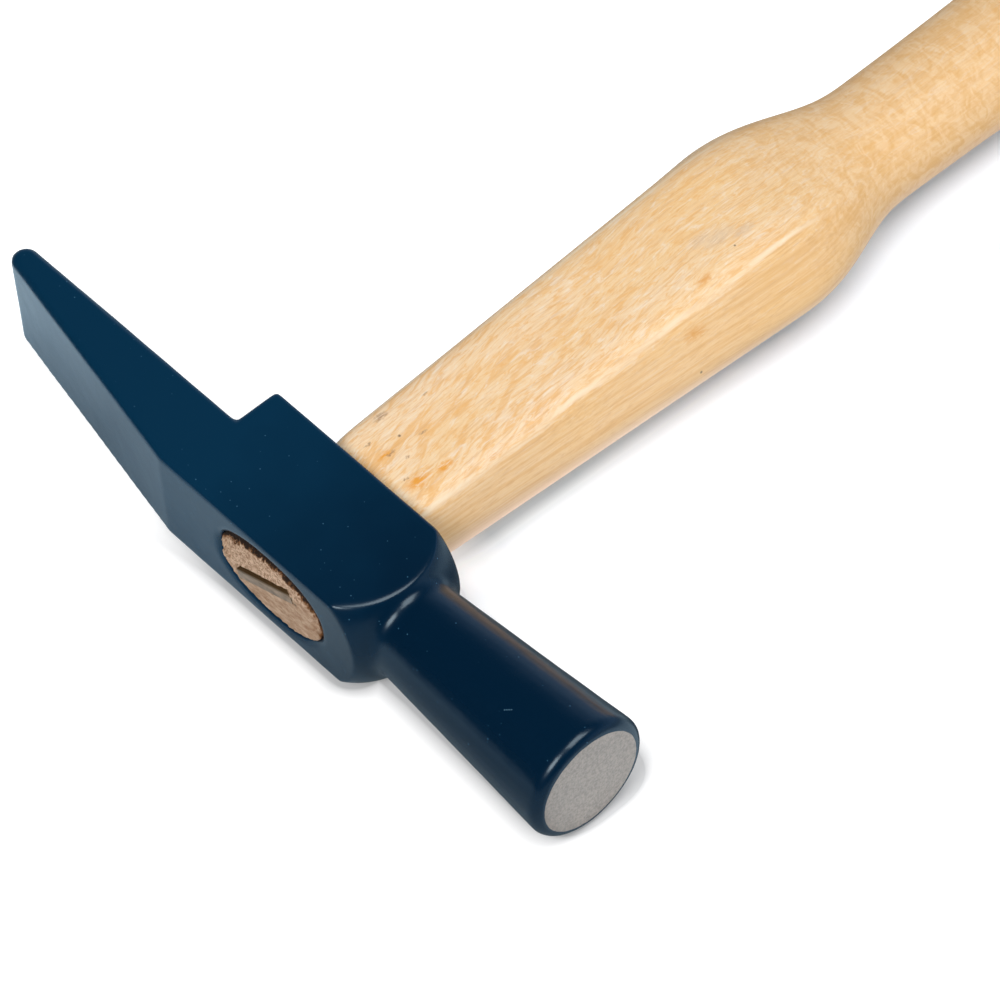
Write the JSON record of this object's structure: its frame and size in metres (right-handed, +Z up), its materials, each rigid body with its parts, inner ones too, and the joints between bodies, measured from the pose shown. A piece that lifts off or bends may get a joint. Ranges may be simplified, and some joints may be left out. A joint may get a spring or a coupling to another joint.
{
  "type": "watchmaker hammer",
  "caption": "Small cross pein hammer with a round flared poll, a stepped wedge pein and a waisted ash handle held in an oval eye by a steel wedge.",
  "frame": {"origin": "middle of the bounding box's base, on the surface that the hammer lies on", "axes": "+X along the handle away from the head, +Y from the striking face to the pein, +Z up, square to the head's cheeks"},
  "size_m": [0.2403, 0.0886, 0.015],
  "materials": {
    "lacquered_steel": "semi-gloss navy lacquer over forged steel, striking face ground bare",
    "ash_wood": "fine sanded ash under a thin clear coat, bare end grain in the eye",
    "wedge_steel": "dull hammered steel"
  },
  "bodies": {
    "root": {"head": "lacquered_steel", "handle": "ash_wood", "wedge": "wedge_steel"}
  },
  "joints": []
}
